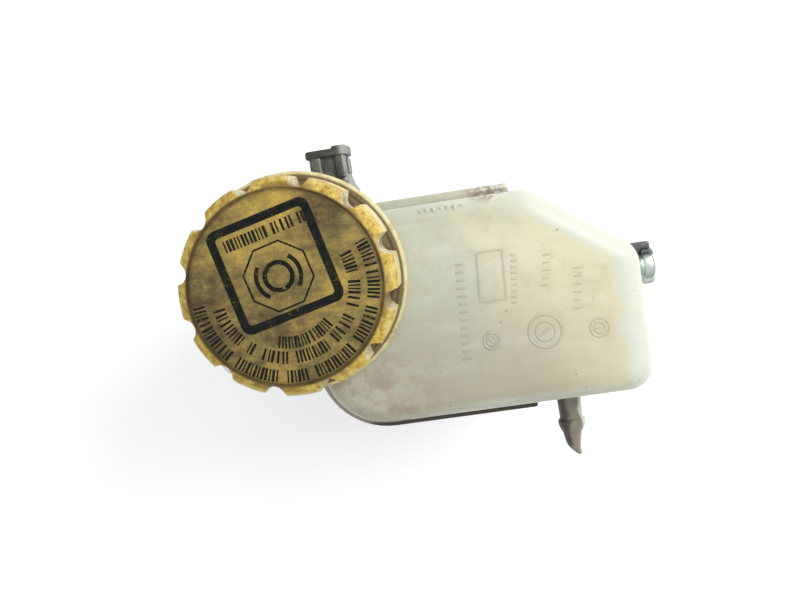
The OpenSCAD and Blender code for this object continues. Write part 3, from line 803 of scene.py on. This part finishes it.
def stroke_row(place, pitch, height, count, draw):
    """A word of plain marks. place(k) gives the k-th mark's centre and the direction of its height."""
    made = []
    for k in range(count):
        x, y, up = place(k)
        for across, half_width in MARKS[draw.randrange(len(MARKS))]:
            shift = turned_by([(0, -across * pitch)], up, (x, y))[0]
            made.append(bar(*shift, half_width * pitch, height / 2, up))
    return made


def round_row(radius, height, start, end, words, draw):
    """Words of plain marks along an arc of the cap's face, from start to end in degrees."""
    step = (end - start) / (sum(words) + len(words) - 1)
    pitch = math.radians(abs(step)) * radius
    made, first = [], 0
    for word in words:
        def place(k, first=first):
            a = start + (first + k + 0.5) * step
            return radius * math.cos(math.radians(a)), radius * math.sin(math.radians(a)), a

        made += stroke_row(place, pitch, height, word, draw)
        first += word + 1
    return made


def make_print():
    sign = (-0.95, 3.1)
    middle, turn, half = (-1.5, 5.6), 13.3, 13.75
    draw = random.Random(4)

    def square(h, r):
        return turned_by(fillet([(-h, -h, r), (h, -h, r), (h, h, r), (-h, h, r)], 6), turn, middle)

    def octagon(r):
        return [(sign[0] + r * math.cos(math.radians(a)), sign[1] + r * math.sin(math.radians(a)))
                for a in range(-8, 352, 45)]

    parts = ring_of(square(half, 2.6), square(half - 2.15, 0.9))
    parts += ring_of(octagon(9.1), octagon(8.6))
    parts += printed_band(sign, 2.9, 4.05, 0, 360, 64)
    for a in (12, 195):
        parts += printed_band(sign, 5.15, 6.2, a - 45, a + 45, 24)
    for radius, height, start, end, words in ((22.3, 3.1, 24, -176, (8, 5, 6, 3, 6, 8)),
                                              (17.5, 3.1, 22, -172, (3, 4, 4, 5, 4, 1, 6)),
                                              (13.7, 3.0, -45, -106, (9,))):
        parts += round_row(radius, height, start, end, words, draw)
    pitch, first = 1.95, 0
    for word in (6, 3, 1):
        def place(k, first=first):
            x, y = turned_by([(-10.2 + (first + k + 0.5) * pitch, 8.9)], turn, middle)[0]
            return x, y, turn + 90

        parts += stroke_row(place, pitch, 3.0, word, draw)
        first += word + 0.6
    settle(build("cap_print", parts, INK), "filler_cap")


make_cap()
make_print()

# ---------- Reservoir ----------

TANK_CORNERS = [(27.5, -29.5, 17.5), (118.2, -29.5, 7), (118.2, 9.4, 8), (90.7, 29.5, 8), (27.5, 29.5, 10)]
WALL = 2.2
LIP_END = 86.0
LIP_REACH = 2.5
HALF_WIDTH = 29.5
ROOF_Z = 50
MARK_FOOT = 49.4
FEEDS = (36.0, 80.0)
SENSOR_X, NIPPLE_X = 36.6, 95.5
SIDE_FITTING_Z = 31.0
PIN_AXIS = (58, 20.5)


def tank_outline(inset):
    """The reservoir's plan. Each corner has the same number of points at every inset."""
    return fillet(TANK_CORNERS, 14, inset)


def tank_layers(levels):
    return loft([[(x, y, z) for x, y in tank_outline(inset)] for z, inset in levels])


def lip_outline(reach):
    """The wide part of the seam lip, which ends in a square step."""
    wide = [p for p in tank_outline(-reach) if p[0] < LIP_END]
    end = HALF_WIDTH + reach
    near = [p for p in wide if p[1] < 0]
    far = [p for p in wide if p[1] > 0]
    step_r = 0.7
    corner = fillet([(LIP_END - 6, -end), (LIP_END, -end, step_r), (LIP_END, end, step_r),
                     (LIP_END - 6, end)], 4)
    return near + corner + far


def lip_plate(z0, z1, outer_first):
    """Half of the welded lip. Its outer rim is rounded, and the edge at the weld stands back a little."""
    edge, weld = 0.5, 0.22
    reaches = [(z0, LIP_REACH - edge), (z0 + 0.15, LIP_REACH - edge * 0.35), (z0 + edge, LIP_REACH),
               (z1 - 0.25, LIP_REACH), (z1, LIP_REACH - weld)]
    if not outer_first:
        reaches = [(z0 + z1 - z, reach) for z, reach in reversed(reaches)]
    return loft([[(x, y, z) for x, y in lip_outline(reach)] for z, reach in reaches])


def dial(x, y, r, bar_angle):
    """Moulded date dial: two low rounded rings and a plain pointer."""
    top = 50.16
    parts = [tube(along_z(x, y), r - 0.75, r, MARK_FOOT, top, 0.34, 48),
             tube(along_z(x, y), r * 0.60 - 0.55, r * 0.60, MARK_FOOT, top, 0.25, 48)]
    c, s = math.cos(math.radians(bar_angle)), math.sin(math.radians(bar_angle))
    half, wide = r * 0.42, 0.35
    outline = [(x + u * c - v * s, y + u * s + v * c) for u, v in
               ((-half, -wide), (half, -wide), (half, wide), (-half, wide))]
    parts.append(slab(outline, MARK_FOOT, top, 0.25, upright))
    return parts


def tally(x0, y0, x1, y1, count, size, top=50.12):
    """Column of short raised bars in place of moulded marks."""
    parts = []
    for k in range(count):
        t = (k + 0.5) / count
        x, y = x0 + (x1 - x0) * t, y0 + (y1 - y0) * t
        parts.append(block((x - size / 2, y - 0.32, MARK_FOOT), (x + size / 2, y + 0.32, top), 0.24))
    return parts


def make_marks():
    """Moulded marks that stand a little proud of the roof and the lip: dials, tallies and a plain frame."""
    parts = dial(90.2, -9.4, 4.9, 35) + dial(75.5, -10.0, 2.6, -40) + dial(104.8, -10.4, 2.9, 10)
    parts += tally(69.8, 13.0, 68.2, -15.0, 13, 2.6)
    parts += tally(84.6, 13.2, 83.0, -1.2, 9, 1.7)
    parts += tally(93.4, 12.2, 91.6, 2.0, 5, 2.2, 50.08)
    parts += tally(101.2, 7.6, 99.4, -5.4, 6, 2.6, 50.08)
    outline = fillet([(73.6, 0.6, 0.8), (81.2, 0.6, 0.8), (81.9, 14.6, 0.8), (74.4, 14.6, 0.8)], 4)
    parts.append(hoop(outline, offset(outline, 0.5), 49.5, 50.08))
    half, pitch, uneven = 0.42, 1.9, 3
    for k in range(7):
        x = 61.2 + pitch * k
        parts.append(block((x - half, 26.6, 47.4), (x + half, 28.2, 48.9 + 0.175 * (k % uneven)), 0.2))
    for k in range(7):
        x = 72.5 + pitch * k
        parts.append(block((x - half, -30.9 - 0.2 * (k % uneven), 39.5), (x + half, -29.2, 40.6), 0.2))
    settle(build("reservoir_marks", parts, TANK), "cylinder")


def make_upper():
    quarter = [math.radians(a) for a in range(0, 91, 9)]
    bend = [(ROOF_Z - 5 + 5 * math.sin(t), 6 * (1 - math.cos(t))) for t in quarter]
    tank = build("reservoir_top_shell", [tank_layers([(38.02, 0.25), (38.2, 0.0), (41, 0.0)] + bend)], TANK)
    neck = revolve([(0, 44), (20.4, 44), (20.4, 49.2), (21.9, 49.9), (21.3, 50.25), (21.05, 50.9), (21, 51.6),
                    (21, 53.4), (21.6, 53.45), (21.8, 53.65), (21.8, 54.55), (21.6, 54.75), (21, 54.8),
                    (21, 66.5), (20.85, 66.85), (20.5, 67), (0, 67)], along_z(*CAP_AXIS), 128)
    combine(tank, [neck], "UNION")
    combine(tank, [lip_plate(38.07, 40.0, False)], "UNION")
    inner = [(36, WALL), (44.5, WALL), (46.4, WALL + 0.6), (47.8, WALL + 1.6)]
    combine(tank, [tank_layers(inner)], "DIFFERENCE")
    bore = revolve([(0, 46.2), (16.7, 46.2), (16.7, 62.0), (18.5, 62.0), (18.5, 66.4), (18.9, 67.5),
                    (0, 67.5)], along_z(*CAP_AXIS), 128)
    combine(tank, [bore], "DIFFERENCE")
    settle(tank, "cylinder", ["reservoir_upper"], 34)
    ridge = helix(CAP_AXIS, 20.7, 22.6, 2.6, 1.2, 57.3, 200, 450, 6)
    settle(build("neck_thread", [ridge], TANK), "cylinder")


def nipple():
    """Hose nipple with a barb. Its tip is pinched shut and cut at a slant."""
    sections = [(-27.0, 0, 4.3, 4.3), (-29.2, 0, 3.75, 3.75), (-30.0, 0, 3.55, 3.55), (-33.5, 0, 3.45, 3.45),
                (-37.6, 0, 3.30, 3.30), (-38.3, 0, 3.35, 3.35), (-38.9, 0, 3.90, 3.95), (-39.6, 0, 3.98, 4.0),
                (-40.8, 0, 3.75, 3.8), (-42.0, -0.1, 3.15, 3.25), (-42.6, -0.2, 2.75, 2.95),
                (-43.6, -0.25, 2.55, 2.75), (-45.2, -0.3, 2.25, 2.6), (-46.4, -0.25, 1.95, 2.5),
                (-47.4, 0.05, 1.60, 2.35), (-48.3, 0.45, 1.20, 2.1), (-49.0, 0.80, 0.85, 1.75),
                (-49.45, 1.05, 0.50, 1.2), (-49.62, 1.10, 0.22, 0.6)]
    turns = [TAU * k / 48 for k in range(48)]
    return loft([[(NIPPLE_X + shift + rx * math.cos(a), y, SIDE_FITTING_Z + rz * math.sin(a))
                  for a in turns] for y, shift, rx, rz in sections])


def make_lower():
    quarter = [math.radians(a) for a in range(90, -1, -10)]
    bend = [(29.5 - 3.5 * math.sin(t), 3.4 * (1 - math.cos(t))) for t in quarter]
    outside = tank_layers(bend + [(35, 0.0), (37.8, 0.0), (37.98, 0.25)])
    tank = build("reservoir_bottom_shell", [outside], TANK)
    tabs = [block((52, y, 16.9), (64, y + 3, 27.5), 0.5) for y in (-7.4, 4.4)]
    spigots = [revolve(fillet([(0, 14.2), (5.1, 14.2, 0.5), (5.1, 24.6), (6.4, 26.4), (0, 27.6)], 3),
                       along_z(x, 0), 64) for x in FEEDS]
    pocket = revolve(fillet([(0, 6), (5.2, 6, 0.8), (5.2, 28, 0.1), (6.8, 28, 0.5), (6.8, 31.9, 0.4),
                             (0, 31.9)], 3), along_y(SENSOR_X, SIDE_FITTING_Z), 64)
    combine(tank, [lip_plate(36.0, 37.98, True)], "UNION")
    combine(tank, tabs + spigots, "UNION")
    inner = [(28.2, WALL + 2.2), (30.6, WALL), (39, WALL)]
    combine(tank, [tank_layers(inner)], "DIFFERENCE")
    baffle = block((57.1, -28.5, 27), (58.9, 28.5, 35), 0.4)
    post = rod(along_z(41.4, 15), 1.8, 27, 47.3, 0.4, 40)
    combine(tank, [pocket, baffle, post, nipple()], "UNION")
    holes = [rod(along_y(SENSOR_X, SIDE_FITTING_Z), 3.75, 7.5, 40),
             rod(along_y(NIPPLE_X, SIDE_FITTING_Z), 1.8, -42, -20),
             rod(along_y(*PIN_AXIS), 2.55, -10, 10)]
    holes += [rod(along_z(x, 0), 3.5, 10, 29.5) for x in FEEDS]
    combine(tank, holes, "DIFFERENCE")
    settle(tank, "cylinder", ["reservoir_lower"], 34)


make_upper()
make_lower()
make_marks()

# ---------- Level sensor ----------


def make_sensor():
    x, z = SENSOR_X, SIDE_FITTING_Z

    def facing(px, py, h):
        return (x + px, h, z - py)

    def rounded(w, h, r):
        return fillet([(-w / 2, -h / 2, r), (w / 2, -h / 2, r), (w / 2, h / 2, r), (-w / 2, h / 2, r)], 5)

    shank = revolve(fillet([(0, 8.5), (3.5, 8.5, 0.8), (3.5, 33.1), (7.6, 33.1, 0.5), (7.6, 36.6, 1.4),
                            (6.6, 38.2, 1.5), (5.9, 41.0, 1.0), (5.2, 43.4, 0.6), (0, 43.4)], 5),
                    along_y(x, z), 72)
    sensor = build("level_sensor_body", [slab(rounded(10.4, 12.0, 1.6), 39, 48, 0.4, facing)], SENSOR)
    rim = slab(rounded(12.2, 14.2, 2.4), 46.8, 49.1, 0.55, facing)
    lobe = fillet([(1.6, -7.1, 1.6), (6.1, -7.1, 2.4), (6.1, 7.1, 2.4), (1.6, 7.1, 1.6)], 5)
    lobe = slab(lobe, 46.9, 49.75, 0.55, facing)
    combine(sensor, [shank, rim, lobe], "UNION")
    ribs = [block((x + x0, 40.5, z + z0), (x + x1, 47.6, z + z1), 0.5)
            for z0, z1 in ((5.4, 6.7), (-6.7, -5.4)) for x0, x1 in ((-4.9, -1.7), (2.2, 4.9))]
    ribs.append(block((x + 4.6, 41.5, z - 2.6), (x + 5.9, 46.2, z + 2.6), 0.4))
    combine(sensor, ribs, "UNION")
    combine(sensor, [slab(rounded(7.8, 9.6, 1.0), 41, 51, 0.2, facing)], "DIFFERENCE")
    settle(sensor, "cylinder", ["level_sensor"], 34)


make_sensor()

# ---------- Cylinder body ----------

PORTS = (54.0, 98.0)
BARREL_R = 16.45
BORE_R, BORE_END = 10.3, 108
STUD_Z = 30


def flange_outline(hub, ear, reach):
    """Plan of the flange in Y and Z: a round hub with an ear above and below."""
    slope = math.asin((hub - ear) / reach)
    points = []
    for centre, r, a0, a1 in ((0, hub, -slope, slope), (reach, ear, slope, math.pi - slope),
                              (0, hub, math.pi - slope, math.pi + slope),
                              (-reach, ear, math.pi + slope, TAU - slope)):
        for k in range(17):
            a = a0 + (a1 - a0) * k / 16
            points.append((r * math.cos(a), centre + r * math.sin(a)))
    return points


def casting_parts():
    shoulder = [(7.5 + 8.95 * math.sin(math.radians(a)), 105 + 8.95 * math.cos(math.radians(a)))
                for a in range(90, 26, -7)]
    barrel = [(0, 2), (BARREL_R, 2)] + shoulder + [(9.3, 120.8), (8.9, 121.5), (0, 121.5)]
    parts = [revolve(barrel, along_x(), 96),
             slab(flange_outline(20.9, 9.4, STUD_Z), 0.25, 9.9, 0.8, lying)]
    for side in (-1, 1):
        parts.append(rod(along_x(0, side * STUD_Z), 8.2, 8, 10.7, 0.3))
        rib = fillet([(9, 12), (9, 20.4), (12, 19.8), (26, 16.9), (30, 12)])
        parts.append(slab(rib, -2.5, 2.5, 0.6,
                          lambda px, pz, h, side=side: (px, h * side, pz * side)))
    for x in FEEDS:
        parts.append(revolve(fillet([(0, 6), (12.6, 6), (11.4, 17, 2), (11.4, 21.9, 0.5), (0, 21.9)], 4),
                             along_z(x, 0), 72))
    for x in PORTS:
        parts.append(revolve(fillet([(0, -8), (11, -8), (10, -19.4, 1.2), (8.45, -20.6, 1.0),
                                     (8.45, -26.9, 0.6), (0, -26.9)], 4), along_y(x, 0), 72))
    parts += [block((52.1, -3.9, 10), (63.9, 3.9, 25.3), 1.2), block((36, -2.4, 10), (80, 2.4, 18.8), 0.8)]
    return parts


def make_casting():
    body = build("cylinder_casting", casting_parts(), CAST)
    remesh = body.modifiers.new("remesh", "REMESH")
    remesh.mode = "VOXEL"
    remesh.voxel_size = 0.6
    remesh.use_smooth_shade = True
    ease = body.modifiers.new("ease", "SMOOTH")
    ease.factor = 0.5
    ease.iterations = 6
    bake_modifiers(body)
    if not body.data.materials:
        body.data.materials.append(CAST)
    pilot = fillet([(0, -11), (16, -11, 0.8), (16, -8, 0.1), (13.8, -8), (13.8, -5.6), (16, -5.6, 0.1),
                    (16, 1.0), (0, 1.0)], 3)
    faces = [revolve(pilot, along_x(), 128), slab(flange_outline(20.2, 8.8, STUD_Z), 0.02, 1.2, 0.15, lying)]
    faces += [rod(along_x(0, side * STUD_Z), 7.4, 9, 10.78, 0.15) for side in (-1, 1)]
    faces += [rod(along_z(x, 0), 10.9, 20.5, 21.98, 0.25) for x in FEEDS]
    faces += [rod(along_y(x, 0), 8.1, -26.99, -25.5, 0.25) for x in PORTS]
    combine(body, faces, "UNION", FACED)
    bore = revolve([(0, -12), (12.6, -12), (12.05, -10.6), (12.05, -9.7), (13.0, -9.7), (13.0, -8.4),
                    (12.05, -8.4), (12.05, 6.5), (BORE_R, 6.5), (BORE_R, BORE_END), (0, BORE_END)],
                   along_x(), 96)
    # The bore is cut by itself: drillings that overlap it in one cut leave walls standing in it
    combine(body, [bore], "DIFFERENCE", FACED)
    outlet = [(0, -28), (5.4, -28), (5.3, -27), (4.5, -26.2), (4.5, -14), (1.5, -12), (1.5, -5), (0, -5)]
    feed = [(0, 30), (8.6, 30), (8.6, 22.0), (8.2, 21.5), (8.2, 13.5), (2, 13.5), (2, 5), (0, 5)]
    stud = fillet([(0, -1), (5.0, -1), (4.25, 0.7), (4.25, 10.1), (5.0, 12), (0, 12)], 2)
    holes = [revolve(outlet, along_y(x, 0), 64) for x in PORTS]
    holes += [revolve(feed, along_z(x, 0), 64) for x in FEEDS]
    holes += [revolve(stud, along_x(0, side * STUD_Z), 64) for side in (-1, 1)]
    holes.append(rod(along_y(*PIN_AXIS), 2.55, -10, 10))
    combine(body, holes, "DIFFERENCE", FACED)
    settle(body, "cylinder", ["cylinder_body"], 36)
    profile = fillet([(0, 117), (9.6, 117), (9.15, 121.4, 0.4), (8.0, 122.7, 0.8), (5.5, 123.5, 0.5),
                      (4.4, 124.3, 0.5), (4.4, 125.6, 0.5), (6.0, 126.4, 1.0), (6.0, 130.5, 2.1),
                      (0, 130.5)], 6)
    nose = build("nose", [revolve(profile, along_x(), 96)], BRIGHT)
    combine(nose, [block((112.0, 3.6, -2.35), (129.5, 7.65, 2.15), 0.5)], "UNION")
    settle(nose, "cylinder", (), 34)


make_casting()

# ---------- Grommets ----------


def make_grommets():
    for name, x in (("rear_grommet", FEEDS[0]), ("front_grommet", FEEDS[1])):
        profile = fillet([(5.15, 13.6, 0.4), (7.9, 13.6, 0.5), (8.15, 16, 0.2), (7.5, 16.5, 0.2),
                          (7.5, 17.0, 0.2), (8.15, 17.5, 0.2), (8.15, 18.6, 0.2), (7.5, 19.1, 0.2),
                          (7.5, 19.6, 0.2), (8.1, 20.1, 0.2), (8.1, 22.05, 0.1), (10.5, 22.05, 0.5),
                          (10.5, 24.6, 0.9), (7.5, 24.9, 0.4), (7.4, 25.6, 0.4), (5.15, 25.6, 0.3)], 4)
        rubber = build(name + "_rubber", [revolve(profile, along_z(x, 0), 96)], RUBBER)
        settle(rubber, "cylinder", [name])


make_grommets()

# ---------- Return springs ----------


def coil(x0, x1, radius, wire, active):
    """Compression spring along X with a closed turn at each end."""
    closed, steps, sides = 1.0, 36, 12
    length = x1 - x0 - wire
    rate = (length - 2 * closed * wire) / active
    turns = active + 2 * closed
    rings = []
    for i in range(int(turns * steps) + 1):
        t = i / steps
        middle = min(max(t - closed, 0), active)
        x = x0 + wire / 2 + min(t, closed) * wire + middle * rate + max(t - closed - active, 0) * wire
        a = TAU * t
        out = Vector((0, math.cos(a), math.sin(a)))
        centre = Vector((x, 0, 0)) + out * radius
        taper = min(1, 0.25 + min(i, turns * steps - i) / 4)
        round_wire = [TAU * k / sides for k in range(sides)]
        rings.append([tuple(centre + (out * math.cos(b) + Vector((1, 0, 0)) * math.sin(b)) * wire / 2 * taper)
                      for b in round_wire])
    return loft(rings)


def make_springs():
    """Each spring rides on the part at its front end."""
    radius, wire = 6.1, 1.8
    for name, body, joint, x0, x1, active, keep in (
            ("primary_spring", "secondary_piston", "primary_push", 31.05, 66.7, 8, 0.7307),
            ("secondary_spring", "cylinder", "secondary_push", 73.05, 107.95, 7, 0.6991)):
        spring = build(name + "_coil", [coil(x0, x1, radius, wire, active)], WIRE)
        settle(spring, body, [name])
        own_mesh(spring)


make_springs()

# ---------- CAD parts that keep their shape ----------

KEPT = {
    RUBBER: ("stem_seal", "pilot_o_ring", "rear_seal", "primary_pressure_seal", "separating_seal",
             "secondary_pressure_seal", "cap_diaphragm", "sensor_gasket"),
    TURNED: ("primary_piston", "secondary_piston"),
    WIRE: ("circlip",),
    ZINC: ("cage_screw", "cage_sleeve", "reservoir_pin"),
    GUIDE: ("guide_bush",),
    NATURAL: ("filler_strainer",),
    FLOAT: ("level_float",),
    FERRITE: ("float_magnet",),
    BRASS: ("sensor_terminals",),
}
for paint, names in KEPT.items():
    for name in names:
        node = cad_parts[name]
        node.data.materials.clear()
        node.data.materials.append(paint)
        node.data.shade_smooth()
        node.data.set_sharp_from_angle(angle=math.radians(30))
